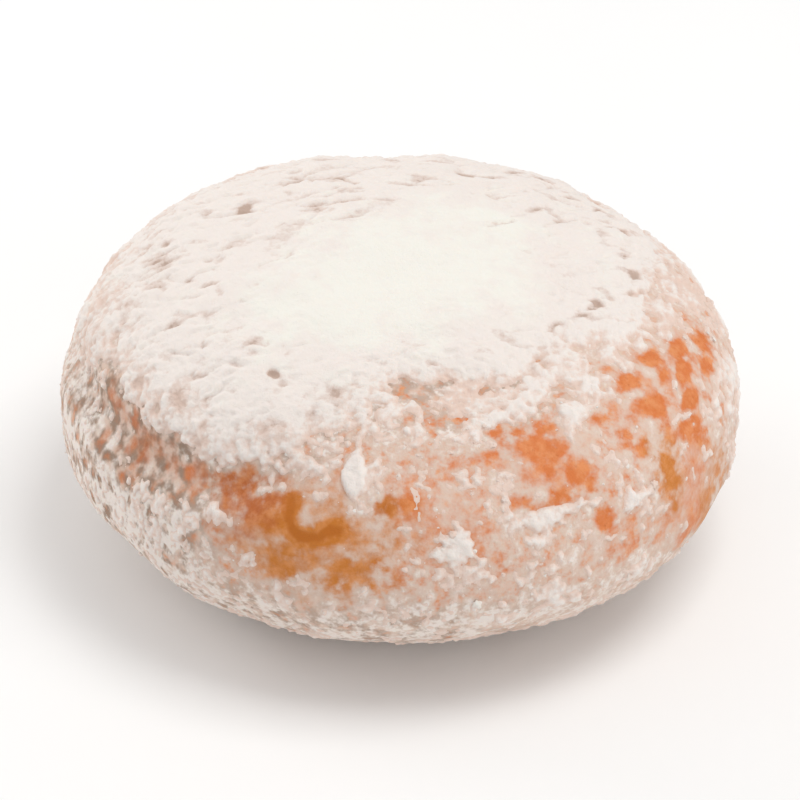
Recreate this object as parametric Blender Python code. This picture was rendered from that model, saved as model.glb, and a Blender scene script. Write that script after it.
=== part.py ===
"""A filled doughnut without a hole: a squat round bun of fried dough under a crust of powdered sugar.

One closed solid in metres, +Z up. It rests on z = 0 with its middle over the origin, and -Y is its front.
The outline is a turned profile, fuller above the widest level than below it. Folds, flats and lumps are then
pushed along the surface's normal, and what would sink below the table is pressed flat.
Bearings are degrees round the bun: 0 at the front, 90 at its right (+X), -90 at its left.
"""

import math

import bmesh
import bpy
import numpy as np
from mathutils import Vector, noise

# Driving sizes
DIAMETER = 0.0880  # across the widest level, before lumps
TOP_RISE = 0.0234  # widest level to crown
BASE_DROP = 0.0171  # widest level to table
BELLY_DROP = 0.0192  # widest level to where the belly would close if the table didn't flatten it
TOP_FULLNESS = 2.75  # superellipse powers: 2 is a plain ellipse, more is boxier
BELLY_FULLNESS = 1.95

# Grid: an octahedron cut into this many steps an edge, so 8 * STEPS ** 2 triangles
STEPS = 38
BASE_SHARE = 0.3  # how densely what the table flattens is meshed, beside the rest

# The plan outline: (waves round the bun, height as a share of the radius, bearing of a crest)
PLAN_WAVES = [(2, 0.006, 60), (3, 0.005, 30), (5, 0.003, -80)]

# The fold under the lip of the sugar cap, at the front left
FOLD_BEARINGS = (-102, 2)
FOLD_LINE = [(-100, 0.0282), (-62, 0.0288), (-37, 0.0296), (-16, 0.0325), (0, 0.0345)]  # (bearing, height)
FOLD_DEPTH = 0.0015
FOLD_WIDTH = 0.0028
LIP_RISE = 0.0038  # from the fold up to the lip's crest
LIP_SWELL = 0.0008

# Broad soft flats and swells: (bearing, height, reach, push; a push below 0 goes inwards)
SWELLS = [
    (-56, 0.0105, 0.0100, -0.0010),
    (-36, 0.0070, 0.0070, 0.0006),
    (-24, 0.0070, 0.0090, -0.0007),
    (14, 0.0055, 0.0110, -0.0007),
    (33, 0.0095, 0.0110, -0.0004),
    (64, 0.0130, 0.0120, -0.0006),
    (-140, 0.0330, 0.0180, 0.0006),
    (-168, 0.0350, 0.0140, 0.0005),
    (172, 0.0355, 0.0090, -0.0006),
    (-15, 0.0170, 0.0100, 0.0004),
]

# Lumps of dough and caked sugar: (wavelength, height)
LUMP_SIZES = [(0.021, 0.00085), (0.0092, 0.00050), (0.0046, 0.00032)]

# Creases of the sugar cap, drawn out from left to right across the top
CREASE_LENGTH = 0.0090
CREASE_SPACING = 0.0034
CREASE_HEIGHT = 0.00036
CAP_START = 0.0270  # height where the cap's creases begin

RADIUS = DIAMETER / 2
WIDEST_HEIGHT = BASE_DROP
PROFILE_POINTS = 240
NEAR_POLE = 1e-6

SUGARED_CRUST = {"colour": (0.80, 0.66, 0.57, 1), "roughness": 0.85, "metallic": 0.0}


def clear_scene():
    for thing in list(bpy.data.objects):
        bpy.data.objects.remove(thing, do_unlink=True)


class Half:
    """The turned surface above or below the widest level, read by the share of its area inside a ring.

    rise is how far the half reaches from the widest level to its pole: above 0 upwards, below 0 downwards.
    """

    def __init__(self, rise, fullness):
        turn = np.linspace(math.pi / 2, 0, PROFILE_POINTS)
        self.radius = RADIUS * np.abs(np.cos(turn)) ** (2 / fullness)
        self.radius[0] = 0
        self.height = WIDEST_HEIGHT + rise * np.abs(np.sin(turn)) ** (2 / fullness)
        step = np.hypot(np.diff(self.radius), np.diff(self.height))
        weight = np.where(self.height[1:] < 0, BASE_SHARE, 1)
        ring = (self.radius[1:] + self.radius[:-1]) * step * weight
        self.share = np.concatenate([[0], np.cumsum(ring)]) / ring.sum()
        side = math.copysign(1, rise)
        self.out = -side * np.gradient(self.height)
        self.up = side * np.gradient(self.radius)

    def at(self, share):
        """Radius, height and the outward normal's two parts at this share of the area."""
        values = [np.interp(share, self.share, v) for v in (self.radius, self.height, self.out, self.up)]
        length = math.hypot(values[2], values[3])
        return values[0], values[1], values[2] / length, values[3] / length


def bump(distance):
    """A smooth hill: 1 at 0, and almost nothing past 2."""
    return math.exp(-distance * distance)


def ease(value, start, end):
    share = min(max((value - start) / (end - start), 0), 1)
    return share * share * (3 - 2 * share)


def bearing_of(point):
    return math.degrees(math.atan2(point.x, -point.y))


def plan_factor(bearing):
    waves = (size * math.cos(math.radians(count * (bearing - crest))) for count, size, crest in PLAN_WAVES)
    return 1 + sum(waves)


def fold_push(point, bearing):
    """The groove under the cap's lip, with the lip swelling above it, fading out at both ends."""
    first, last = FOLD_BEARINGS
    fade = ease(bearing, first, first + 24) * (1 - ease(bearing, last - 38, last))
    line = float(np.interp(bearing, *zip(*FOLD_LINE)))
    above = point.z - line - 0.0012 * noise.noise(Vector((bearing * 0.05, 0.0, 3.7)))
    groove = -FOLD_DEPTH * bump(above / FOLD_WIDTH)
    lip = LIP_SWELL * bump((above - LIP_RISE) / FOLD_WIDTH)
    return fade * (groove + lip)


def swell_push(point):
    push = 0
    for bearing, height, reach, size in SWELLS:
        turn = math.radians(bearing)
        centre = Vector((RADIUS * math.sin(turn), -RADIUS * math.cos(turn), height))
        if height > WIDEST_HEIGHT + 0.6 * TOP_RISE:
            centre.xy *= 0.8
        push += size * bump((point - centre).length / reach)
    return push


def lump_push(point):
    push = 0
    for layer, (size, height) in enumerate(LUMP_SIZES):
        shift = Vector((11.3, 4.1, 7.9)) * (layer + 1)
        push += height * noise.noise(point / size + shift)
    return push


def crease_push(point):
    """Long low ridges across the cap, such as a sieve of sugar leaves once it has settled."""
    cap = ease(point.z, CAP_START, CAP_START + 0.008)
    drawn = Vector((point.x / CREASE_LENGTH, point.y / CREASE_SPACING, point.z / CREASE_LENGTH))
    return cap * CREASE_HEIGHT * (1 - 2 * abs(noise.noise(drawn + Vector((2.2, 9.4, 1.6)))))


def placed(corner, top, belly):
    """Where a point of the octahedron |x| + |y| + |z| = 1 lies on the bun."""
    reach = max(1 - abs(corner.z), NEAR_POLE)
    quarter = min(abs(corner.y) / reach, 1) * math.pi / 2
    around = Vector((math.copysign(math.cos(quarter), corner.x), math.copysign(math.sin(quarter), corner.y)))
    radius, height, out, up = (top if corner.z >= 0 else belly).at(reach * reach)
    point = Vector((*around * radius, height))
    normal = Vector((*around * out, up))
    bearing = bearing_of(point)
    point.xy *= plan_factor(bearing)
    point += normal * (fold_push(point, bearing) + swell_push(point) + lump_push(point) + crease_push(point))
    point.z = max(point.z, 0)
    return point


def octahedron():
    """The eight-faced start of the grid, cut into even triangles."""
    grid = bmesh.new()
    top, bottom = grid.verts.new((0, 0, 1)), grid.verts.new((0, 0, -1))
    ring = [grid.verts.new(p) for p in ((1, 0, 0), (0, 1, 0), (-1, 0, 0), (0, -1, 0))]
    for here, there in zip(ring, ring[1:] + ring[:1]):
        grid.faces.new((here, there, top))
        grid.faces.new((there, here, bottom))
    bmesh.ops.subdivide_edges(grid, edges=grid.edges[:], cuts=STEPS - 1, use_grid_fill=True)
    bmesh.ops.triangulate(grid, faces=grid.faces[:])
    return grid


def centre_over_origin(grid):
    """Shifts the bun so that its box is centred on the origin."""
    for axis in (0, 1):
        places = [vertex.co[axis] for vertex in grid.verts]
        middle = (min(places) + max(places)) / 2
        for vertex in grid.verts:
            vertex.co[axis] -= middle


def sugared_crust():
    material = bpy.data.materials.new("sugared_crust")
    material.use_nodes = True
    shader = material.node_tree.nodes["Principled BSDF"]
    shader.inputs["Base Color"].default_value = SUGARED_CRUST["colour"]
    shader.inputs["Roughness"].default_value = SUGARED_CRUST["roughness"]
    shader.inputs["Metallic"].default_value = SUGARED_CRUST["metallic"]
    return material


def doughnut():
    halves = Half(TOP_RISE, TOP_FULLNESS), Half(-BELLY_DROP, BELLY_FULLNESS)
    grid = octahedron()
    for vertex in grid.verts:
        vertex.co = placed(vertex.co, *halves)
    centre_over_origin(grid)
    bmesh.ops.recalc_face_normals(grid, faces=grid.faces[:])
    mesh = bpy.data.meshes.new("doughnut")
    grid.to_mesh(mesh)
    grid.free()
    mesh.shade_smooth()
    mesh.materials.append(sugared_crust())
    made = bpy.data.objects.new("doughnut", mesh)
    bpy.context.scene.collection.objects.link(made)
    return made


clear_scene()
doughnut()
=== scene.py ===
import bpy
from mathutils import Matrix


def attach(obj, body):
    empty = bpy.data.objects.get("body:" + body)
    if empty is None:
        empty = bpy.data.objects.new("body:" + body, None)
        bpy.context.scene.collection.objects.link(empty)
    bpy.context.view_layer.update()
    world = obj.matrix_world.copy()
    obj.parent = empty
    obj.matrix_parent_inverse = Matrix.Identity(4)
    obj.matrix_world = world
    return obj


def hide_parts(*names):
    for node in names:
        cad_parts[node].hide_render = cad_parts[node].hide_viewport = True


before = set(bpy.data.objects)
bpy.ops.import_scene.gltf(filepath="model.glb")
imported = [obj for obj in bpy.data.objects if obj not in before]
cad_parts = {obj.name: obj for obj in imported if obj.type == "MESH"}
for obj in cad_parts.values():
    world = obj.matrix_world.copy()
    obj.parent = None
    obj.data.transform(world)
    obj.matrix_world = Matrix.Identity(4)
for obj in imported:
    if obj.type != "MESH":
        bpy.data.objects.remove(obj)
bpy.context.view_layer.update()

import itertools
import math

import bmesh
import bpy
import numpy as np
from mathutils import Vector
from mathutils.bvhtree import BVHTree

# Shapes are worked out in millimetres and made in metres.
# A bearing is in degrees round the bun: 0 at the front (-Y), 90 at its right (+X).
# "down" is how far a place is from the crown, in mm along the surface: the widest level is near 57.
mm = 0.001
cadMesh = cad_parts["doughnut"].data
cadPoints = np.array([vertex.co for vertex in cadMesh.vertices]) / mm
radius = np.ptp(cadPoints, axis=0)[:2].mean() / 2
height = cadPoints[:, 2].max()


def ease(value, start, end):  # 0 up to start, 1 from end on, smooth between
    share = np.clip((value - start) / (end - start), 0, 1)
    return share * share * (3 - 2 * share)


# Noise

cellKinds = 4096  # different cells of noise
layerStep = 17.31  # cells between two shifts of it
noiseGain = 1.7  # brings it to about -1 to 1
slopes = np.random.default_rng(3).normal(size=(cellKinds, 3))
slopes /= np.linalg.norm(slopes, axis=1)[:, None]
jitters = np.random.default_rng(4).random((cellKinds, 3))


def cellCode(cell):  # a number for each cell, the same every time
    return (cell[:, 0] * 73856093 ^ cell[:, 1] * 19349663 ^ cell[:, 2] * 83492791) & (cellKinds - 1)


def noise(points, size, shift=0):  # soft noise, about -1 to 1, whose hills are this many mm apart
    place = points / size + layerStep * shift
    home = np.floor(place).astype(np.int64)
    part = place - home
    curve = part**3 * (part * (part * 6 - 15) + 10)
    total = np.zeros(len(points))
    for corner in itertools.product((0, 1), repeat=3):
        x, y, z = np.where(corner, curve, 1 - curve).T
        total += x * y * z * np.einsum("ij,ij->i", part - corner, slopes[cellCode(home + corner)])
    return total * noiseGain


def layered(points, layers, shift):  # soft noise of several sizes: (mm apart, how much)
    return sum(amount * noise(points, size, shift + layer) for layer, (size, amount) in enumerate(layers))


# Round hills, 1 at their middles and 0 between them, and each hill's own number from 0 to 1
def lumps(points, size, shift=0):
    place = points / size + layerStep * shift
    home = np.floor(place).astype(np.int64)
    nearest = np.full(len(points), np.inf)  # distances, squared
    owner = np.zeros(len(points), np.int64)
    for step in itertools.product((-1, 0, 1), repeat=3):
        code = cellCode(home + step)
        gap = place - home - step - jitters[code]
        distance = np.einsum("ij,ij->i", gap, gap)
        closer = distance < nearest
        nearest[closer] = distance[closer]
        owner[closer] = code[closer]
    return np.clip(1 - nearest, 0, 1), owner / (cellKinds - 1)


# The bun's own surface, taken from the CAD solid and smoothed

bun = {
    "widest": 0.414,  # height of the widest level, as a share of the whole
    "topFullness": 2.75,
    "bellyFullness": 1.95,
    "bellyReach": 1.12,  # how far the belly would go down without a table, as a share of what it does
    "underWeight": 0.15,  # how finely the flat underside is made, beside the rest
    "ringCount": 600,
    "smoothRounds": 16,  # on a sheet of this many steps:
    "smoothSteps": 300,
}
widestHeight = bun["widest"] * height


# From the pole to the widest level: share of the area inside each ring, its radius, height and way along
def ringsOf(reach, fullness):
    turn = np.linspace(math.pi / 2, 0, bun["ringCount"])
    out = radius * np.cos(turn) ** (2 / fullness)
    out[0] = 0
    level = widestHeight + reach * np.sin(turn) ** (2 / fullness)
    step = np.hypot(np.diff(out), np.diff(level))
    area = (out[1:] + out[:-1]) * step * np.where(level[1:] < 0, bun["underWeight"], 1)
    return np.append(0, area.cumsum()) / area.sum(), out, level, np.append(0, step.cumsum())


topRings = ringsOf(height - widestHeight, bun["topFullness"])
bellyRings = ringsOf(-bun["bellyReach"] * widestHeight, bun["bellyFullness"])
cadTree = BVHTree.FromPolygons([v.co for v in cadMesh.vertices], [p.vertices[:] for p in cadMesh.polygons])


def foldedSquare(steps):  # a square of triangles whose rim is folded shut, as on an octahedron
    side = steps + 1
    across, along = (rows.ravel() for rows in np.meshgrid(np.arange(side), np.arange(side), indexing="ij"))
    a, b = across.copy(), along.copy()
    b = np.where(a % steps == 0, np.minimum(b, steps - b), b)
    a = np.where(b % steps == 0, np.minimum(a, steps - a), a)
    _, first, number = np.unique(a * side + b, return_index=True, return_inverse=True)
    cells = np.arange(side * side).reshape(side, side)
    corners = [cells[:-1, :-1], cells[1:, :-1], cells[1:, 1:], cells[:-1, 1:]]
    p, q, r, s = (corner.ravel() for corner in corners)
    sameSign = (2 * across[p] + 1 > steps) == (2 * along[p] + 1 > steps)
    slant = np.where(sameSign[:, None], np.stack([p, q, s, q, r, s], 1), np.stack([p, q, r, p, r, s], 1))
    slant = slant.reshape(-1, 3)
    places = np.stack([across, along], 1) / steps
    return places[first] * 2 - 1, number[slant], places[slant]


def meanOfNeighbours(values, triangles):
    start, end = triangles.ravel(), triangles[:, [1, 2, 0]].ravel()
    tally = np.bincount(start, minlength=len(values))
    sums = [np.bincount(start, values[end, axis], len(values)) for axis in range(values.shape[1])]
    return np.stack(sums, 1) / tally[:, None]


def smoothed(values, triangles, rounds):
    for _ in range(rounds):
        values = (values + meanOfNeighbours(values, triangles)) / 2
    return values


def normalsOf(points, triangles):
    a, b, c = (points[triangles[:, corner]] for corner in range(3))
    facing = np.repeat(np.cross(b - a, c - a), 3, axis=0)
    sums = np.stack([np.bincount(triangles.ravel(), facing[:, axis], len(points)) for axis in range(3)], 1)
    return sums / np.linalg.norm(sums, axis=1)[:, None]


# The bun's surface as a fine sheet, with what the sugar needs to know at each point
def sheetOverBun(steps):
    square, triangles, places = foldedSquare(steps)
    size = np.abs(square)
    onTop = size.sum(axis=1) <= 1
    fold = np.where(onTop[:, None], size, 1 - size[:, ::-1])
    reach = np.maximum(fold.sum(axis=1), 1e-9)  # never 0, as it divides
    quarter = np.clip(fold[:, 1] / reach, 0, 1) * math.pi / 2
    around = np.stack([np.cos(quarter), np.sin(quarter)], 1) * np.where(square < 0, -1, 1)
    out, level, along = (
        np.where(onTop, *(np.interp(reach**2, rings[0], rings[k]) for rings in (topRings, bellyRings)))
        for k in (1, 2, 3)
    )
    heading = np.column_stack([around * out[:, None], level - widestHeight])
    middle = Vector((0, 0, widestHeight * mm))
    points = np.array([cadTree.ray_cast(middle, Vector(way))[0] for way in heading]) / mm
    points = smoothed(points, triangles, round(bun["smoothRounds"] * (steps / bun["smoothSteps"]) ** 2))
    wholeLength = topRings[3][-1] + bellyRings[3][-1]
    return {
        "points": points,
        "triangles": triangles,
        "places": places,
        "normals": normalsOf(points, triangles),
        "bearing": np.degrees(np.arctan2(points[:, 0], -points[:, 1])),
        "down": np.where(onTop, along, wholeLength - along),
    }


def makePiece(name, points, triangles, places, marks):  # a smooth mesh object with its map and its marks
    mesh = bpy.data.meshes.new(name)
    mesh.vertices.add(len(points))
    mesh.vertices.foreach_set("co", (points * mm).astype(np.float32).ravel())
    mesh.loops.add(triangles.size)
    mesh.loops.foreach_set("vertex_index", triangles.astype(np.int32).ravel())
    mesh.polygons.add(len(triangles))
    mesh.polygons.foreach_set("loop_start", np.arange(0, triangles.size, 3, dtype=np.int32))
    mesh.update(calc_edges=True)
    mesh.shade_smooth()
    mesh.uv_layers.new(name="OFBake").uv.foreach_set("vector", places.astype(np.float32).ravel())
    for mark, values in marks.items():
        mesh.attributes.new(mark, "FLOAT", "POINT").data.foreach_set("value", values.astype(np.float32))
    piece = bpy.data.objects.new(name, mesh)
    bpy.context.scene.collection.objects.link(piece)
    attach(piece, "root")
    print(name + ":", len(triangles), "triangles")
    return piece


# Where the sugar lies. A spot is (bearing, down, half its width, half its height, how strong), with its
# half sizes in mm, and a route is a row of (bearing, down).

sugar = {
    # how far the thick cap reaches from the crown: (bearing, mm)
    "capReach": [(-180, 41), (-100, 42), (-62, 41), (-37, 40.5), (-25, 38), (-16, 34), (-8, 28), (0, 24.5),
                 (12, 26), (30, 29), (55, 29), (80, 31.5), (100, 36), (130, 40), (180, 41)],
    "capWaver": [(6.5, 2.2), (2.4, 1.8), (1.1, 0.8)],  # how its edge wanders: (mm apart, mm)
    "capPast": 2,  # mm past that edge, where the cap has ended
    "capFade": 5,
    "capFadeLeft": 0.6,  # more of it at the left
    "capCover": 1.25,
    "sideCover": -0.1,  # above 0 the side would be mostly covered
    "sideDust": 0.61,
    "capDust": 0.5,  # under the cap
    "patches": [(5.2, 0.16), (2.5, 0.28), (1.25, 0.34)],  # ragged patches: (mm apart, strength)
    "ragged": [(2.1, 0.45), (0.9, 0.3)],  # what frays the edge of every spot
    "streakWidth": 1.9,
    "flakeCover": 0.45,
    "crumbCover": 0.3,
    "crumbSize": 1.15,  # mm apart
    "crumbFlank": 1.2,
    "blobSize": 2.3,
    # what brings more of the caked sugar to the side, or less
    "cover": {"shoulder": 0.22, "soaked": -0.3, "low": -0.1, "under": -0.6, "patch": 1, "streak": 0.5,
              "bare": -0.7, "blister": -0.7, "between": 0.3, "heap": 0.7, "streaked": -1},
    "flankCover": 0.27,  # less on the left flank
    "flankPatch": 0.25,
    # what brings more of the thin damp sugar to the crust, or less
    "dust": {"patch": 0.5, "blob": 0.6, "soaked": -0.36, "bare": -0.42, "streaked": -0.9, "dots": -0.68,
             "blistered": 0.36, "blister": -0.85, "streak": 0.55, "shoulder": 0.12, "flank": 0.1,
             "even": 0.2},
    "dimpleDust": 0.22,
    # how dull the damp sugar's film is, and painted shade on it: low down, on the left flank, in the band
    # just under the cap's edge and where the crust shows under the cap
    "dullAndShade": {"low": 0.7, "cap": 0.5, "shoulder": 0.6},
    # the smooth field on the cap, from front left to back right
    "calmMiddle": [1, -3],
    "calmHeading": [[0.8, -0.6], [0.6, 0.8]],
    "calmReach": [22, 14],
    "calmEdge": (0.2, 1.5),
    # how thin the cap is; the lip's share darkens the cap's front-left rim, partly thinner sugar and partly
    # painted shade
    "thin": {"mottle": 0.6, "rimward": 0.35, "lip": 1.3, "spots": 0.7, "dimple": 1.1},
    "lipSizes": [(2.4, 1), (1.2, 0.6)],  # (mm apart, how much)
}

# Where a change starts and where it is whole, in mm down, or in degrees round the bun for a Turn
bands = {
    "blisterTop": (0.68, 0.9),  # height on a round hill
    "fadeTurn": (0, 40),  # towards the left, as for each Turn here
    "flankTurn": (28, 42),
    "flankDown": (42, 50),
    "shoulder": 11,  # below the cap's edge
    "low": (56, 64),
    "under": (74, 80),
    "evenDown": (53, 60),
    "evenTurn": (30, 45),
    "evenBack": (-95, -75),
    "rimward": (15, 4),  # above the cap's edge
    # where the dull film and the painted shade on it lie
    "dullShadeLow": (53, 62),
    "dullShadeTurn": (25, 45),
    "dullShadeBack": (-100, -75),
    "dullShadeDown": (38, 42),
    "notDullShade": (8, 30),  # towards the right
    "dullShadeShoulder": (5, 20, 45),  # its middle bearing, then degrees from it
    "lipDown": (9, 1),  # above the cap's edge
    "lipTurn": (-10, 25),
}

# Where hardly any sugar lies. The row just under the cap's left edge, at bearings -67 to -39 and about 44
# mm down, lays the crust bare as a painted shadow line under its lip.
bareAndShadowSpots = [
    (-76, 48, 2.0, 4.0, 0.5), (-66.5, 43.6, 2.2, 1.7, 1.0), (-60, 43.6, 2.4, 1.5, 1.1),
    (-55, 46, 3.0, 1.8, 0.7), (-30, 43.8, 3.2, 2.4, 0.9), (-24, 46.5, 2.6, 2.4, 0.8),
    (-2.2, 43.2, 1.2, 1.4, 1.4), (-17, 51.4, 5.0, 2.6, 0.55), (-7, 52, 5.5, 2.2, 0.6),
    (-50, 44.6, 5, 1.8, 0.6), (-39, 45, 4, 1.9, 0.7), (2, 43.5, 1.3, 3.2, 0.7),
    (5.4, 27.5, 3, 1.6, 0.5), (9, 33, 3.4, 1.4, 0.4), (14, 37, 3, 1.6, 0.4), (1, 26.0, 1.2, 1.8, 0.8),
    (22.4, 35.7, 2.2, 1.6, 0.8), (29, 39.6, 2.4, 2.6, 0.9), (34.3, 43, 2.1, 2.4, 1.2),
    (28.3, 44.8, 2.4, 1.0, 1.2), (52.3, 48.6, 1.2, 3.6, 0.9), (70, 57, 3.0, 4.5, 0.9),
    (60, 59, 5.0, 3, 0.8), (64, 47, 2.0, 2.4, 0.4), (36.5, 49.8, 1.2, 2.0, 1.2),
    (41, 55, 2.2, 1.8, 0.7), (18.4, 50.8, 2.4, 1.6, 0.5), (128, 45, 4.0, 3.0, 0.8),
    (150, 49, 3.0, 3.5, 0.9), (176, 46, 4.5, 2.4, 0.8), (-160, 50, 2.6, 3.4, 0.9),
    (-134, 46, 3.4, 2.2, 0.8), (-108, 51, 2.6, 4.0, 0.8), (106, 50, 2.2, 4.0, 0.9),
]
# Round tops of blisters with little sugar on them
dotSpots = [
    (31.5, 36, 1.4, 1.1, 0.9), (39, 32.2, 1.4, 1.0, 0.5), (54.5, 36, 1.7, 1.2, 1.0),
    (64.5, 35.6, 2.2, 1.0, 1.0), (74, 38.4, 2.2, 1.2, 1.0), (69.5, 40.2, 2.1, 1.0, 1.1),
    (75.5, 43.0, 2.1, 1.1, 0.9), (65, 43.0, 2.2, 0.9, 1.1), (56.2, 40.3, 1.9, 1.5, 1.1),
    (44.7, 37.6, 2.2, 1.1, 0.6), (49, 43.6, 1.3, 1.2, 0.6), (62, 38.4, 1.0, 0.8, 0.5),
    (81, 41, 2.2, 1.5, 0.6), (60, 45.3, 1.3, 1.1, 0.8), (26, 37.8, 1.5, 1.0, 0.5),
    (22, 44.6, 1.5, 1.0, 0.5),
]
# Soaked places, where the damp sugar is clear and the crust glows through
soakedSpots = [
    (-17, 48.5, 14, 8, 0.98), (-54, 45.5, 15, 6.5, 1.0), (-77, 47, 4, 6, 0.5), (30, 41, 9, 6, 0.75),
    (62, 40, 15, 8, 0.7), (58, 54, 8, 9, 1.0), (1, 43, 4, 5, 0.6), (38, 52, 6, 5, 0.6),
    (12, 52, 7, 4, 0.5), (6, 45, 8, 7, 0.75), (128, 46, 12, 7, 0.8), (160, 48, 14, 6, 0.8),
    (-165, 50, 12, 7, 0.7), (-130, 48, 14, 6, 0.7), (-106, 50, 6, 7, 0.6), (104, 50, 7, 8, 0.5),
]
# Blistered places, whose round tops stick out of the sugar between them
blisteredSpots = [
    (62, 40, 15, 7, 0.4), (30, 38, 9, 5, 0.3), (130, 44, 12, 6, 0.7), (-140, 47, 12, 6, 0.6),
]
# Small heaps of sugar
heaps = [
    (9.2, 49, 2.0, 2.6, 1.0), (26.8, 47, 4.4, 1.3, 0.6), (-7.6, 40, 1.3, 2.4, 0.6),
    (5, 41, 1.2, 1.7, 0.4), (47, 33.5, 1.3, 1.3, 1.0), (38.6, 36.2, 1.7, 1.5, 1.0),
    (43, 49, 1.8, 1.3, 1.0), (26, 57, 2.6, 2.2, 0.6), (84, 48, 4, 4, 0.4), (62, 45.5, 1.2, 1.5, 0.8),
    (22, 32.5, 4.5, 2.2, 0.4), (-52, 50.5, 2.6, 1.6, 0.8), (83.5, 35.2, 1.8, 1.6, 0.9),
    (92, 39, 1.6, 1.5, 0.5), (71.4, 47, 1.2, 1.6, 0.5), (63.4, 49.9, 1.2, 1.8, 0.6),
    (-39.4, 52.5, 1.3, 3.4, 0.5), (-46, 54, 1.1, 3.4, 0.5), (-25.4, 53, 1.4, 1.6, 0.6),
    (13, 52, 1.2, 2.4, 0.4), (-55, 49, 2.4, 1.3, 0.7), (-44.5, 50.8, 1.9, 1.6, 0.7),
    (-50, 53.5, 1.5, 2.4, 0.6), (-33, 48.5, 1.4, 1.4, 0.5), (72, 31, 5, 1.6, 0.8),
    (98, 46, 3.0, 2.2, 0.7), (140, 54, 3.0, 2.4, 0.7), (-172, 55, 3.4, 2.2, 0.6),
    (-120, 57, 2.4, 3.4, 0.6), (-96, 44, 3.0, 2.0, 0.6),
]
# Thin chips of sugar, a little lifted
flakes = [(-8.4, 39.6, 1.5, 2.3, 0.9)]
# Dimples of the cap where it is thin
dimples = [
    (-34.3, 28.4, 0.9, 0.75, 1.3), (-29.8, 29.4, 0.9, 0.6, 0.5), (-35, 24.8, 0.7, 0.9, 0.4),
    (-55.8, 29.6, 1.3, 0.6, 0.35), (-62.1, 34.2, 1.3, 0.8, 0.4), (-44, 25, 1.6, 0.8, 0.3),
    (-77, 24.2, 1.6, 0.6, 0.4), (-161.9, 10.5, 1.5, 0.8, 0.3), (-61.7, 38.8, 1.3, 0.8, 0.5),
    (-41, 35.5, 1.6, 0.8, 0.3), (-50, 37.4, 1.6, 0.9, 0.3), (160, 28, 1.5, 0.7, 0.5),
    (-128, 26, 1.4, 0.7, 0.5), (-150, 36, 1.2, 0.9, 0.5),
]
# Where the cap is thin enough to look pink
thinSpots = [
    (-102, 32.7, 2.4, 3.2, 0.9), (-113, 16.8, 4.5, 2.0, 0.7), (-172, 13.6, 3.4, 1.6, 0.6),
    (-93, 39, 3, 3, 0.8), (95, 40, 5, 4, 0.8), (82, 37, 4, 3, 0.6), (150, 33, 6, 3, 0.7),
    (-150, 30, 5, 3, 0.6), (-70, 38, 5, 3, 0.4), (18, 29, 4, 3, 0.5), (-130, 38, 5, 3, 0.6),
]
# Where the crust is baked browner, and where it glows amber. The two brown spots just under the cap's left
# edge, at bearings -60 and -30, are painted shadow under its lip.
brownAndShadowSpots = [
    (-60, 45, 11, 6, 0.9), (-30, 44.5, 6.5, 6, 1.0), (-3, 42, 2, 3, 0.5), (168, 47, 14, 7, 0.8),
]
amberSpots = [
    (-15, 49, 12, 8, 1.0), (-2.2, 43.3, 1.3, 1.5, 1.5), (68, 57, 7, 8, 0.8), (52, 48, 3, 6, 0.9),
    (-120, 50, 14, 8, 0.8),
]
# Where filling has soaked through, dark and clear
streakRoute = [
    (-19.3, 44.2), (-19.0, 45.8), (-17.9, 47.4), (-15.9, 48.1), (-13.6, 47.7), (-11.9, 46.9),
    (-10, 46.6),
]
# Where the cap has cracked
creviceRoutes = [
   
    [(89, 33.6), (83.5, 30.1), (77, 27.4), (64.6, 25.5), (55, 24.2), (44.6, 26.3), (37, 28.4), (33, 29.2)],
    [(122, 26), (131, 25.8), (127, 20), (127, 14.8)],
    [(-82, 37), (-78, 38.6), (-71, 41.5)],
]
# Where sugar has been pushed up
ridgeRoute = [(-0.8, 37.6), (1.6, 39.4), (3.2, 42), (3.5, 44.6)]


def turnFrom(skin, bearing):  # degrees from a bearing to each point, -180 to 180
    return (skin["bearing"] - bearing + 180) % 360 - 180


def spotsOver(skin, spots, ragged=1, soft=(0.4, 1.5)):  # how much of these spots each point gets
    total = np.zeros(len(skin["down"]))
    girth = np.maximum(np.hypot(skin["points"][:, 0], skin["points"][:, 1]), 5)  # mm, and never near 0
    for bearing, down, halfWidth, halfHeight, amount in spots:
        across = np.radians(turnFrom(skin, bearing)) * girth / halfWidth
        along = (skin["down"] - down) / halfHeight
        gone = ease(np.hypot(across, along) + ragged * skin["ragged"], *soft)
        total = np.maximum(total, amount * (1 - gone))
    return total


def distanceTo(skin, route):  # mm from each point to a route over the surface
    girth = np.hypot(skin["points"][:, 0], skin["points"][:, 1])
    stops = []
    for bearing, down in route:
        turn = np.radians(turnFrom(skin, bearing))
        stops.append(skin["points"][np.argmin(np.hypot(turn * girth, skin["down"] - down))])
    nearest = np.full(len(girth), np.inf)
    for start, end in zip(stops, stops[1:]):
        way = end - start
        share = np.clip((skin["points"] - start) @ way / (way @ way), 0, 1)
        away = np.linalg.norm(skin["points"] - start - share[:, None] * way, axis=1)
        nearest = np.minimum(nearest, away)
    return nearest


def weighed(start, weights, parts):  # start, and each part by its weight
    for name, part in parts.items():
        start = start + weights[name] * part
    return start


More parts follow.
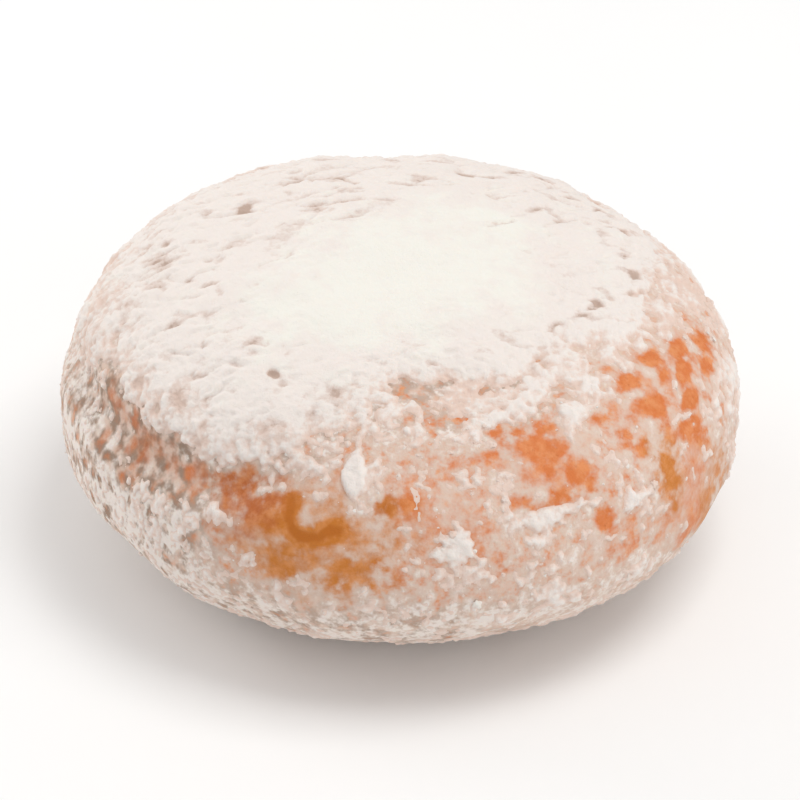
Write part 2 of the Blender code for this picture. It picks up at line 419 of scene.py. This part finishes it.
def addSugar(skin):  # adds what the sugar does at each point to a sheet
    points, bearing, down = skin["points"], skin["bearing"], skin["down"]
    left, right = -bearing, bearing
    skin["ragged"] = layered(points, sugar["ragged"], 5)

    # the cap, from its edge up to the crown
    edge = np.interp(bearing, *zip(*sugar["capReach"])) + layered(points, sugar["capWaver"], 1)
    fade = sugar["capFade"] * (1 + sugar["capFadeLeft"] * ease(left, *bands["fadeTurn"]))
    cap = 1 - ease(down, edge - fade, edge + sugar["capPast"])
    above, whole = bands["rimward"]
    rimward = ease(down, edge - above, edge - whole)

    # what lies on the side
    bare, soaked, heap = (spotsOver(skin, spots) for spots in (bareAndShadowSpots, soakedSpots, heaps))
    dots = spotsOver(skin, dotSpots, ragged=0.35)
    flake = spotsOver(skin, flakes, ragged=0.3, soft=(0.8, 1.1))
    dimple = spotsOver(skin, dimples, ragged=1.1, soft=(0.1, 1.6))
    blistered = spotsOver(skin, blisteredSpots)
    blister = blistered * ease(lumps(points, 3.2, 7)[0], *bands["blisterTop"])
    frayed = distanceTo(skin, streakRoute) + 0.35 * skin["ragged"] + 0.2 * noise(points, 0.7, 8)
    streaked = 1 - ease(frayed, 0, sugar["streakWidth"])
    patch = layered(points, sugar["patches"], 10)
    flank = ease(left, *bands["flankTurn"]) * ease(down, *bands["flankDown"])
    streak = noise(points / [1, 1, 1.7], 1.4, 14) * flank
    shoulder = 1 - ease(down, edge, edge + bands["shoulder"])

    side = weighed(sugar["sideCover"], sugar["cover"], {
        "shoulder": shoulder, "soaked": soaked, "low": ease(down, *bands["low"]),
        "under": ease(down, *bands["under"]), "patch": patch, "streak": streak, "bare": bare + dots,
        "blister": blister, "between": blistered - blister, "heap": heap, "streaked": streaked})
    side -= sugar["flankCover"] * flank + sugar["flankPatch"] * flank * patch
    crumb = lumps(points, sugar["crumbSize"], 16)[0] - 0.5 + 0.5 * noise(points, 0.7, 17)
    crumb = crumb * (1 + sugar["crumbFlank"] * flank)
    cover = (side + sugar["crumbCover"] * crumb) * (1 - cap)
    cover += (sugar["capCover"] + 0.12 * noise(points, 3, 15)) * cap
    cover += (sugar["flakeCover"] - cover) * flake

    blob, number = lumps(points, sugar["blobSize"], 19)
    leftSide = ease(left, *bands["evenTurn"]) * ease(right, *bands["evenBack"])
    dust = weighed(sugar["sideDust"], sugar["dust"], {
        "patch": patch * (1 - 0.5 * np.clip(soaked, 0, 1)), "blob": (blob - 0.45) * (number - 0.3),
        "soaked": soaked, "bare": bare, "streaked": streaked, "dots": dots, "blistered": blistered,
        "blister": blister, "streak": streak, "shoulder": shoulder, "flank": flank,
        "even": np.maximum(ease(down, *bands["evenDown"]), leftSide)})
    dust += (sugar["capDust"] - dust) * cap
    dust -= sugar["dimpleDust"] * dimple

    # where the damp sugar is dull and painted in shade, and where the cap is calm or thin
    dullShadeLeftFlank = ease(left, *bands["dullShadeTurn"]) * ease(right, *bands["dullShadeBack"])
    dullShadeLeftFlank = dullShadeLeftFlank * ease(down, *bands["dullShadeDown"])
    dullAndShade = sugar["dullAndShade"]
    below = dullAndShade["low"] * ease(down, *bands["dullShadeLow"]) * (1 - 0.8 * ease(right, *bands["notDullShade"]))
    middle, near, far = bands["dullShadeShoulder"]
    dullShadeShoulder = dullAndShade["shoulder"] * shoulder * (1 - ease(np.abs(bearing - middle), near, far))
    drift = (points[:, :2] - sugar["calmMiddle"]) @ sugar["calmHeading"] / sugar["calmReach"]
    frayed = np.hypot(*drift.T) + 0.35 * noise(points, 7, 18) + 0.3 * skin["ragged"]
    calm = 1 - ease(frayed, *sugar["calmEdge"])
    mottle = ease(noise(points / [2.2, 1.1, 1.1], 1.5, 9) + 0.6 * noise(points, 3.5, 4), -0.1, 0.9)
    # the lip: the cap's front-left rim, thinned so that it turns grey-brown; partly thinner sugar, partly
    # painted shade on the rim
    above, whole = bands["lipDown"]
    lip = ease(layered(points, sugar["lipSizes"], 12), -0.6, 0.5)
    lip *= ease(down, edge - above, edge - whole) * ease(left, *bands["lipTurn"])
    weight = sugar["thin"]
    blotchy = mottle * (weight["mottle"] * (1 - calm) + weight["rimward"] * rimward)
    thin = cap * np.maximum(blotchy, weight["lip"] * lip)
    thin = np.maximum(thin, weight["spots"] * spotsOver(skin, thinSpots))

    skin["cap"], skin["rimward"], skin["flake"], skin["cover"] = cap, rimward, flake, cover
    skin["flank"], skin["blister"], skin["dimple"], skin["calm"] = flank, blister, dimple, calm
    skin["open"] = np.maximum.reduce([bare, dots, blister, streaked])
    skin["dust"] = dust
    skin["wet"] = np.clip(soaked, 0, 1)
    skin["dullAndShade"] = np.maximum.reduce([below, dullShadeLeftFlank, dullAndShade["cap"] * cap, dullShadeShoulder])
    skin["thin"] = thin + weight["dimple"] * dimple
    # painted shade: under the cap the crust is browned, so that its cracks look dark
    skin["brown"] = np.maximum(spotsOver(skin, brownAndShadowSpots, ragged=0.5), cap)
    skin["amber"] = np.maximum(spotsOver(skin, amberSpots, ragged=0.5), 1.8 * streaked)


def aboveTable(points, gap):
    points[:, 2] = np.maximum(points[:, 2], gap)
    return points


# Crust

crust = {
    "steps": 300,
    "tableGap": 0.05,
    "wrinkles": (2.1, 0.05),  # (mm apart, mm high)
    "swells": [(0.9, 0.03), (4.2, 0.10)],
    "blister": 0.16,
    "marks": ("dust", "brown", "amber", "dullAndShade", "wet"),
}


def doughRelief(skin):  # fine wrinkles and blisters of the fried skin, in mm
    size, tall = crust["wrinkles"]
    relief = tall * (1 - 2 * np.abs(noise(skin["points"], size, 21)))
    for layer, (size, tall) in enumerate(crust["swells"]):
        relief = relief + tall * noise(skin["points"], size, 22 + layer)
    return relief + crust["blister"] * skin["blister"]


crustSkin = sheetOverBun(crust["steps"])
addSugar(crustSkin)
crustPoints = crustSkin["points"] + crustSkin["normals"] * doughRelief(crustSkin)[:, None]
crustPiece = makePiece("crust", aboveTable(crustPoints, crust["tableGap"]), crustSkin["triangles"],
                       crustSkin["places"], {mark: crustSkin[mark] for mark in crust["marks"]})
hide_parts("doughnut")

# Caked sugar: the cap, and the patches round the side

cake = {  # in mm where nothing else is said
    "steps": 530,
    "capEnd": 37,  # down, where the cap's piece meets the patches' piece
    "lowest": 80,
    "tableGap": 0.1,
    "deepestShown": -0.08,  # what is sunk below this is left off
    "tallEnough": 0.05,  # a scrap that stands out less than this, or has fewer points, is left off
    "wideEnough": 14,
    "thickFrom": (0.75, 1.2),  # cover where it starts to be thick, and where it is
    "skinEdge": 0.1,
    "skinDepth": 0.13,  # at once at a patch's edge
    "heapDepth": 0.42,  # more where the cover is 1
    "flankThinner": 0.5,
    "swell": 0.14,  # soft hills
    "crease": 0.42,  # folds drawn out from side to side
    "creaseSpacing": 2.6,
    "creaseLength": 7.5,
    "ripple": 0.07,  # finer folds
    "calmRise": 0.12,
    "thinSink": 0.08,
    "clod": 0.5,  # towards the cap's edge
    "clodSize": 3.1,
    "lump": 0.34,
    "lumpSizes": [(1.3, 0.6), (0.72, 0.6), (0.5, 0.4)],  # (mm apart, share)
    "roughFrom": (-0.05, 0.35),
    "smoothBelow": (58, 68),
    "roughSizes": [(1.1, 0.08), (0.7, 0.07), (0.45, 0.06)],
    "fineSizes": [(1.0, 0.05), (0.55, 0.03)],  # (mm apart, mm)
    "grit": 0.035,
    "flakeLift": 0.28,
    "flakeRim": 0.1,
    "dimple": 0.45,
    "dashes": 620,  # short cracks with a lifted lip
    "dashLength": (0.4, 1.7),  # half of it
    "dashWidth": (0.2, 0.42),
    "dashDepth": (0.06, 0.28),
    "dashReach": 38,  # how far from the crown
    "dashTurn": (0.25, 0.3),  # mostly from side to side, in radians: the usual turn and how it varies
    "dashLip": (0.45, 1.9),  # its height beside the crack's depth, and half widths away from it
    "dashWindow": 4.5,
    "deepest": 0.24,
    "crevice": 0.45,
    "creviceWidth": 0.8,
    "ridge": 0.16,
    "ridgeWidth": 0.65,
}


def crackedBy(skin, chance):  # how deep the short cracks are at each point
    points = skin["points"]
    waver = 0.3 * noise(points, 1.8, 43)
    dents = np.zeros(len(points))
    lipHeight, lipAway = cake["dashLip"]
    sizes = ("dashLength", "dashWidth", "dashDepth")
    for _ in range(cake["dashes"]):
        length, width, deep = (chance.uniform(*cake[size]) for size in sizes)
        turn, way = chance.uniform(0, 360), chance.normal(*cake["dashTurn"])
        out = cake["dashReach"] * math.sqrt(chance.random())
        middle = np.array([out * math.sin(math.radians(turn)), -out * math.cos(math.radians(turn))])
        close = np.abs(points[:, :2] - middle).max(axis=1) < cake["dashWindow"]
        near = np.flatnonzero(close & (points[:, 2] > widestHeight))
        offset = points[near, :2] - middle
        along = offset @ [math.cos(way), math.sin(way)] / length
        across = (offset @ [-math.sin(way), math.cos(way)] + waver[near]) / width
        lip = lipHeight * np.exp(-(across - lipAway) ** 2)
        dents[near] += deep * np.exp(-along**4) * (np.exp(-across**2) - lip)
    return np.minimum(dents, cake["deepest"])


def sugarRelief(skin):  # how high the caked sugar stands over the crust, in mm; below 0 it's hidden inside
    points, cover, calm, flake = skin["points"], skin["cover"], skin["calm"], skin["flake"]
    thick = ease(cover, *cake["thickFrom"])
    depth = cake["skinDepth"] * np.tanh(cover / cake["skinEdge"]) + cake["heapDepth"] * np.maximum(cover, 0)

    # folds and swells of the cap
    drawn = points / [cake["creaseLength"], cake["creaseSpacing"], cake["creaseSpacing"]]
    bend = 0.6 * noise(points, 8, 31)[:, None] * [0, 1, 0]
    crease = np.clip(1 - np.abs(noise(drawn + bend, 1, 32)) * 3, 0, 1) ** 2
    crease = crease * ease(noise(points, 5, 38), -0.2, 0.4)
    depth -= thick * (1 - calm) * cake["crease"] * crease
    depth += thick * (1 - 0.6 * calm) * cake["swell"] * noise(points, 5, 33)
    ripple = thick * (1 - calm) * cake["ripple"] * noise(drawn * 2.1 + bend, 1, 39)
    depth += ripple + cake["calmRise"] * calm
    depth -= cake["thinSink"] * skin["thin"] * thick

    # lumps of the patches and of the cap's edge
    rough = ease(cover, *cake["roughFrom"]) * (1 - 0.7 * ease(skin["down"], *cake["smoothBelow"]))
    rough = rough * (1 - thick * (1 - 0.6 * skin["rimward"])) * (1 + 0.15 * skin["dullAndShade"] * (1 - thick))
    clod, number = lumps(points, cake["clodSize"], 47)
    depth += thick * skin["rimward"] * cake["clod"] * (clod - 0.5) * (0.4 + number)
    for size, share in cake["lumpSizes"]:
        hill, number = lumps(points, size, 34 + size)
        depth += rough * share * cake["lump"] * (hill**1.5 - 0.35) * (0.3 + number)
    for size, share in cake["roughSizes"]:
        depth += rough * share * noise(points, size, 44 + size)
    depth += ease(cover, 0, 0.3) * (1 - 0.6 * calm) * layered(points, cake["fineSizes"], 36)

    # the lifted chip, the grit, cracks, dimples and ridges
    rim = 4 * flake * (1 - flake)
    depth += cake["flakeLift"] * flake + cake["flakeRim"] * rim
    chance = np.random.default_rng(5)
    depth += cake["grit"] * ease(cover, 0, 0.3) * (1 - 0.6 * calm) * chance.uniform(-1, 1, len(points))
    depth -= crackedBy(skin, chance) * thick * (1 - calm)
    depth -= cake["dimple"] * skin["dimple"]
    broken = ease(noise(points, 1.6, 40), -0.35, 0.25)
    for route in creviceRoutes:
        depth -= cake["crevice"] * broken * np.exp(-(distanceTo(skin, route) / cake["creviceWidth"]) ** 2)
    away = distanceTo(skin, ridgeRoute) + 0.4 * noise(points, 1.1, 41) + 0.25 * noise(points, 0.6, 48)
    ridge = np.exp(-((away / cake["ridgeWidth"]) ** 2))
    depth += cake["ridge"] * ridge * (0.5 + 0.5 * ease(noise(points, 1.4, 42), -0.5, 0.3))
    return depth


def keptPart(triangles, places, keep):  # the chosen triangles with their points numbered afresh
    used, numbers = np.unique(triangles[keep], return_inverse=True)
    return used, numbers.reshape(-1, 3), places[keep]


def islandsOf(triangles):  # the lowest point number in each point's own island
    label = np.arange(triangles.max() + 1)
    while True:
        lowest = label.copy()
        np.minimum.at(lowest, triangles.ravel(), np.repeat(label[triangles].min(axis=1), 3))
        lowest = lowest[lowest]
        if (lowest == label).all():
            return label
        label = lowest


cakeSkin = sheetOverBun(cake["steps"])
addSugar(cakeSkin)
depth = sugarRelief(cakeSkin)
dough = doughRelief(cakeSkin)
lift = dough + depth * (1 - cake["flankThinner"] * cakeSkin["flank"] * (depth > 0))
cakePoints = aboveTable(cakeSkin["points"] + cakeSkin["normals"] * lift[:, None], cake["tableGap"])
triangles = cakeSkin["triangles"]
shown = (depth[triangles] > cake["deepestShown"]).any(axis=1)
shown &= (cakeSkin["down"][triangles] < cake["lowest"]).all(axis=1)
onCap = cakeSkin["down"][triangles].mean(axis=1) < cake["capEnd"]
sugarPieces = []
for name, keep in (("sugarCap", shown & onCap), ("sugarPatches", shown & ~onCap)):
    used, part, places = keptPart(triangles, cakeSkin["places"], keep)
    island = islandsOf(part)
    tallest = np.full(len(used), -np.inf)
    np.maximum.at(tallest, island, depth[used])
    members = np.bincount(island, minlength=len(used))
    seen = (tallest[island] > cake["tallEnough"]) & (members[island] > cake["wideEnough"])
    kept, part, places = keptPart(part, places, seen[part].all(axis=1))
    used = used[kept]
    marks = {mark: cakeSkin[mark][used] for mark in ("thin", "calm", "cap")}
    piece = makePiece(name, cakePoints[used], part, places, {"depth": depth[used], **marks})
    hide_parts("doughnut")
    sugarPieces.append(piece)

# Crumbs and grains of sugar

looseSugar = {
    # where they gather: (the cover they like best, how far from it)
    "heaps": (0.15, 0.35),
    "edges": (0.05, 0.22),
    "bareLimit": (0.1, 0.4),  # none where the crust lies open more than this
    # (where, how many, smallest and largest in mm, how finely round, seed)
    "sugarCrumbs": [("heaps", 16, (0.7, 1.1), 3, 61), ("edges", 360, (0.3, 0.7), 3, 62)],
    "sugarGrains": [("edges", 1500, (0.14, 0.3), 2, 63)],
    "lowest": 76,  # mm down
    "offCap": 0.9,
    "uneven": (0.6, 1.4),
    "bumpy": 0.4,
    "squat": 0.5,
    "sunk": 0.14,  # share of the size
    "tableGap": 0.1,
    "depth": (0.12, 0.3),
    "calm": 0.6,
}


def roundSolid(fineness):  # a ball's points and triangles
    ball = bmesh.new()
    bmesh.ops.create_icosphere(ball, subdivisions=fineness, radius=1)
    points = np.array([vertex.co for vertex in ball.verts])
    faces = np.array([[vertex.index for vertex in face.verts] for face in ball.faces])
    ball.free()
    return points, faces


# Small lumps half sunk in the surface: their points, triangles, own shades and maps
def scattered(where, count, sizes, fineness, seed):
    chance = np.random.default_rng(seed)
    ball, faces = roundSolid(fineness)
    best, spread = looseSugar[where]
    liking = np.exp(-((cakeSkin["cover"] - best) / spread) ** 2) * allowed
    home = chance.choice(len(liking), count, p=liking / liking.sum())
    size = chance.uniform(0, 1, count) ** 2 * (sizes[1] - sizes[0]) + sizes[0]
    shape = chance.uniform(*looseSugar["uneven"], (count, 3)) * size[:, None] / 2
    up = cakeSkin["normals"][home]
    right = np.cross(up, chance.normal(size=(count, 3)))
    right /= np.linalg.norm(right, axis=1)[:, None]
    ahead = np.cross(up, right)
    apart = chance.uniform(0, 90, (count, 1, 3))
    bumpy = 1 + looseSugar["bumpy"] * noise((ball[None] * 1.5 + apart).reshape(-1, 3), 1, 50)
    local = ball[None] * bumpy.reshape(count, -1, 1) * (shape * [1, 1, looseSugar["squat"]])[:, None]
    base = cakeSkin["points"][home] + up * (dough + np.maximum(depth, 0))[home][:, None]
    base = base - up * (size * looseSugar["sunk"])[:, None]
    ways = enumerate((right, ahead, up))
    points = base[:, None] + sum(local[:, :, axis:axis + 1] * way[:, None] for axis, way in ways)
    points = aboveTable(points.reshape(-1, 3), looseSugar["tableGap"])
    numbers = faces[None] + (np.arange(count) * len(ball))[:, None, None]
    shade = np.repeat(chance.random(count), len(ball))
    flat = np.repeat(ball[None, :, :2] * 0.45 + 0.5, count, axis=0)
    return points, numbers.reshape(-1, 3), shade, flat


allowed = (cakeSkin["down"] < looseSugar["lowest"]) * (1 - looseSugar["offCap"] * cakeSkin["cap"])
allowed = allowed * (1 - ease(cakeSkin["open"], *looseSugar["bareLimit"]))
for name in ("sugarCrumbs", "sugarGrains"):
    groups = [scattered(*group) for group in looseSugar[name]]
    points, shade, flat = (np.concatenate([group[k] for group in groups]) for k in (0, 2, 3))
    starts = np.cumsum([0] + [len(group[0]) for group in groups])
    numbers = np.concatenate([group[1] + start for group, start in zip(groups, starts)])
    columns = math.ceil(math.sqrt(len(flat)))  # each lump's map has a square of its own
    cell = np.arange(len(flat))
    corner = np.stack([cell % columns, cell // columns], 1)
    places = ((flat + corner[:, None]) / columns).reshape(-1, 2)[numbers]
    least, more = looseSugar["depth"]
    marks = {"depth": least + more * shade, "calm": shade * looseSugar["calm"], "cap": shade * 0}
    piece = makePiece(name, points, numbers, places, marks)
    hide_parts("doughnut")
    sugarPieces.append(piece)


# Materials

class Wire:  # a node's output, which can be used in sums
    def __init__(self, tree, socket=None):
        self.tree = tree
        self.socket = socket

    def node(self, kind, settings=None, inputs=None, output=0):
        made = self.tree.nodes.new(kind)
        for name, value in (settings or {}).items():
            setattr(made, name, value)
        for name, value in (inputs or {}).items():
            if isinstance(value, Wire):
                self.tree.links.new(value.socket, made.inputs[name])
            else:
                made.inputs[name].default_value = value
        return Wire(self.tree, made.outputs[output])

    def maths(self, operation, *values):
        return self.node("ShaderNodeMath", {"operation": operation}, dict(enumerate(values)))

    def __add__(self, other):
        return self.maths("ADD", self, other)

    def __sub__(self, other):
        return self.maths("SUBTRACT", self, other)

    def __rsub__(self, other):
        return self.maths("SUBTRACT", other, self)

    def __mul__(self, other):
        return self.maths("MULTIPLY", self, other)

    __radd__ = __add__
    __rmul__ = __mul__

    def between(self, start, end):  # 0 up to start, 1 from end on
        return self.node("ShaderNodeMapRange", {"interpolation_type": "SMOOTHSTEP"},
                         {"Value": self, "From Min": start, "From Max": end})

    def blend(self, first, second):  # the first colour at 0, the second at 1
        return self.node("ShaderNodeMix", {"data_type": "RGBA"}, {0: self, 6: first, 7: second}, 2)

    def mark(self, name):
        return self.node("ShaderNodeAttribute", {"attribute_name": name}, output=2)

    def grain(self, size, detail=2.0, roughness=0.5):  # noise from 0 to 1, its hills this many mm apart
        place = self.node("ShaderNodeTexCoord", output=3)
        return self.node("ShaderNodeTexNoise", None, {
            "Vector": place, "Scale": 1 / (size * mm), "Detail": detail, "Roughness": roughness})

    def bumpy(self, strength, reach):  # this height as a bump of so many mm
        return self.node("ShaderNodeBump", None, {
            "Strength": strength, "Distance": reach * mm, "Height": self})


def srgb(red, green, blue):  # a colour as seen on a screen, 0 to 255, as light
    linear = [((v / 255 + 0.055) / 1.055) ** 2.4 if v > 10 else v / 255 / 12.92 for v in (red, green, blue)]
    return (*linear, 1)


def newMaterial(name, constants):
    material = bpy.data.materials.new(name)
    material.use_nodes = True
    shader = material.node_tree.nodes["Principled BSDF"]
    for socket, value in constants.items():
        shader.inputs[socket].default_value = value
    return material, shader, Wire(material.node_tree)


def wire(shader, socket, value):
    value.tree.links.new(value.socket, shader.inputs[socket])


crustLook = {
    "orange": srgb(214, 120, 62),
    "amber": srgb(200, 120, 42),
    "deepAmber": srgb(188, 106, 28),
    "brown": srgb(186, 102, 50),
    "pale": srgb(236, 170, 118),
    "poreShade": srgb(176, 92, 44),
    "film": srgb(219, 195, 180),
    # dull grey-brown film, partly painted shade
    "dullShadeFilm": srgb(156, 133, 117),
    "powder": srgb(236, 225, 217),
    # how much dust, brown or amber it takes: (none below the first, whole from the second)
    "filmAt": (-0.05, 0.65),
    "powderAt": (0.6, 1.05),
    "mattAt": (0.1, 0.5),
    "brownAt": (0.0, 0.9),
    "amberAt": (0.0, 0.9),
    "deepAmberAt": (1.0, 1.7),
    "mottle": 3.5,  # mm apart
    "paleSize": 1.7,
    "paleShare": 0.6,
    "poreSize": 0.55,
    "poreShare": 0.35,
    "speckles": [(2.6, 1.2), (1.2, 1.2), (0.5, 0.6)],  # (mm apart, strength)
    "wetSmooths": 0.65,  # how far soaked places lose their speckles
    "bump": 0.5,
    "bumpReach": 0.25,
    "constants": {"Specular IOR Level": 0.3, "Subsurface Weight": 0.08,
                  "Subsurface Radius": (1.0, 0.5, 0.25), "Subsurface Scale": 0.8 * mm},
}


def crustMaterial():
    material, shader, start = newMaterial("friedCrustUnderDampSugar", crustLook["constants"])
    dust, brown, amber, dullAndShade, wet = (start.mark(name) for name in crust["marks"])
    mottle = start.grain(crustLook["mottle"])
    toBrown = (brown + (mottle - 0.5) * 0.9).between(*crustLook["brownAt"])
    toAmber = (amber + (mottle - 0.5) * 0.7).between(*crustLook["amberAt"])
    baked = toBrown.blend(toAmber.blend(crustLook["orange"], crustLook["amber"]), crustLook["brown"])
    pale = (start.grain(crustLook["paleSize"], 3, 0.6) * 1.4 - 0.2).between(0.35, 0.8)
    baked = (pale * (1 - wet * 0.35) * crustLook["paleShare"]).blend(baked, crustLook["pale"])
    # dark dots for the crust's pores: painted shade in them
    poreShadows = start.grain(crustLook["poreSize"], 3, 0.7).between(0.56, 0.72)
    baked = (poreShadows * crustLook["poreShare"]).blend(baked, crustLook["poreShade"])
    baked = amber.between(*crustLook["deepAmberAt"]).blend(baked, crustLook["deepAmber"])
    for size, strength in crustLook["speckles"]:
        speckle = (start.grain(size, 2, 0.6) - 0.5) * (1 - wet * crustLook["wetSmooths"])
        dust = dust + speckle * strength
    # painted shade: the film darkened towards a dull grey-brown low down, on the left flank, under the
    # cap's edge and in its cracks
    dullShadeAmount = dullAndShade * start.grain(1.6).between(0.35, 0.62)
    film = dullShadeAmount.blend(crustLook["film"], crustLook["dullShadeFilm"])
    colour = dust.between(*crustLook["filmAt"]).blend(baked, film)
    colour = dust.between(*crustLook["powderAt"]).blend(colour, crustLook["powder"])
    wire(shader, "Base Color", colour)
    wire(shader, "Roughness", dust.between(*crustLook["mattAt"]) * 0.4 + 0.5)
    relief = dust + start.grain(0.28, 3, 0.6) * 0.7
    wire(shader, "Normal", relief.bumpy(crustLook["bump"], crustLook["bumpReach"]))
    return material


sugarLook = {
    "white": srgb(240, 237, 229),
    "thin": srgb(230, 206, 193),
    # grey-brown of shallow sugar on the cap, partly painted shade in its cracks
    "crackShade": srgb(196, 173, 160),
    "mottle": srgb(221, 204, 195),
    "shade": srgb(238, 229, 223),
    # where the skin's own colour starts, and where the clean white does, in mm of depth
    "skinAt": (-0.08, 0.14),
    "cleanAt": (0.06, 0.5),
    "fine": 0.6,  # mm apart
    "soft": 3.2,
    "bump": 0.65,
    "bumpReach": 0.2,
    "constants": {"Roughness": 0.95, "Specular IOR Level": 0.2, "Subsurface Weight": 0.15,
                  "Subsurface Radius": (1.0, 0.8, 0.65), "Subsurface Scale": 0.6 * mm},
}


def sugarMaterial():
    material, shader, start = newMaterial("cakedPowderedSugar", sugarLook["constants"])
    depth, thin, calm, onCap = (start.mark(name) for name in ("depth", "thin", "calm", "cap"))
    fine, soft = start.grain(sugarLook["fine"], 3, 0.65), start.grain(sugarLook["soft"])
    clean = (calm + (soft - 0.5) * 1.6).between(0, 1).blend(sugarLook["shade"], sugarLook["white"])
    # Where the sugar is shallow, in creases, cracks and dimples and along the cap's front-left lip, it
    # takes the pink of thin sugar, or on the cap a grey-brown that is also painted shade.
    thick = depth + (fine - 0.5) * 0.6 - thin * 0.6
    edge = onCap.blend(sugarLook["thin"], sugarLook["crackShade"])
    skinned = onCap.blend(sugarLook["thin"], sugarLook["mottle"])
    colour = thick.between(*sugarLook["skinAt"]).blend(edge, skinned)
    wire(shader, "Base Color", thick.between(*sugarLook["cleanAt"]).blend(colour, clean))
    relief = fine + start.grain(0.26, 3, 0.65) * 0.9
    wire(shader, "Normal", relief.bumpy(sugarLook["bump"], sugarLook["bumpReach"]))
    return material


crustPiece.data.materials.append(crustMaterial())
white = sugarMaterial()
for piece in sugarPieces:
    piece.data.materials.append(white)
print("materials done")

# Studio

studio = {  # in mm
    "elevation": 34,  # degrees
    "distance": 600,
    "lens": 205.8,
    "sensor": 36,
    "nearest": 10,
    "aimRise": 1.78,  # above the widest level's middle, along the view's upright
    "aimRight": 0.13,
    "floorReach": 6000,
    "floorColours": (srgb(247, 247, 247), srgb(250, 250, 250)),
    "world": 0.645,
    # (place, size across, power, colour)
    "key": ((200, -60, 610), 320, 1.6, (1, 0.985, 0.96)),
    "fill": ((480, -330, 140), 300, 0.32, (1, 0.99, 0.97)),
    "rim": ((-420, 250, 160), 300, 0.8, (1, 0.99, 0.97)),
}


def setCamera():
    tilt = math.radians(studio["elevation"])
    toCamera = Vector((0, -math.cos(tilt), math.sin(tilt)))
    upright = Vector((0, math.sin(tilt), math.cos(tilt)))
    aim = Vector((0, 0, widestHeight)) + upright * studio["aimRise"] + Vector((studio["aimRight"], 0, 0))
    camera = bpy.data.objects.new("camera", bpy.data.cameras.new("camera"))
    camera.data.lens = studio["lens"]
    camera.data.sensor_width = studio["sensor"]
    camera.data.clip_start = studio["nearest"] * mm
    camera.location = (aim + toCamera * studio["distance"]) * mm
    camera.rotation_euler = (-toCamera).to_track_quat("-Z", "Y").to_euler()
    bpy.context.scene.collection.objects.link(camera)
    bpy.context.scene.camera = camera


def layFloor():
    mesh = bpy.data.meshes.new("floor")
    reach = studio["floorReach"] * mm
    corners = [(-reach, -reach, 0), (reach, -reach, 0), (reach, reach, 0), (-reach, reach, 0)]
    mesh.from_pydata(corners, [], [(0, 1, 2, 3)])
    floor = bpy.data.objects.new("floor", mesh)
    bpy.context.scene.collection.objects.link(floor)
    material, shader, start = newMaterial("paleFloor", {"Roughness": 0.9, "Specular IOR Level": 0.1})
    wire(shader, "Base Color", start.grain(40).blend(*studio["floorColours"]))
    mesh.materials.append(material)


def areaLight(name, aim):
    place, size, power, colour = studio[name]
    light = bpy.data.lights.new(name, "AREA")
    light.size = size * mm
    light.energy = power
    light.color = colour
    lamp = bpy.data.objects.new(name, light)
    lamp.location = Vector(place) * mm
    lamp.rotation_euler = (Vector(aim) * mm - lamp.location).to_track_quat("-Z", "Y").to_euler()
    bpy.context.scene.collection.objects.link(lamp)


def setLights():
    world = bpy.data.worlds.new("studio")
    world.use_nodes = True
    background = world.node_tree.nodes["Background"]
    background.inputs["Color"].default_value = (1, 1, 1, 1)
    background.inputs["Strength"].default_value = studio["world"]
    bpy.context.scene.world = world
    for name in ("key", "fill", "rim"):
        areaLight(name, (0, 0, height / 2))
    bpy.context.scene.view_settings.view_transform = "Standard"


setCamera()
layFloor()
setLights()
print("studio set")
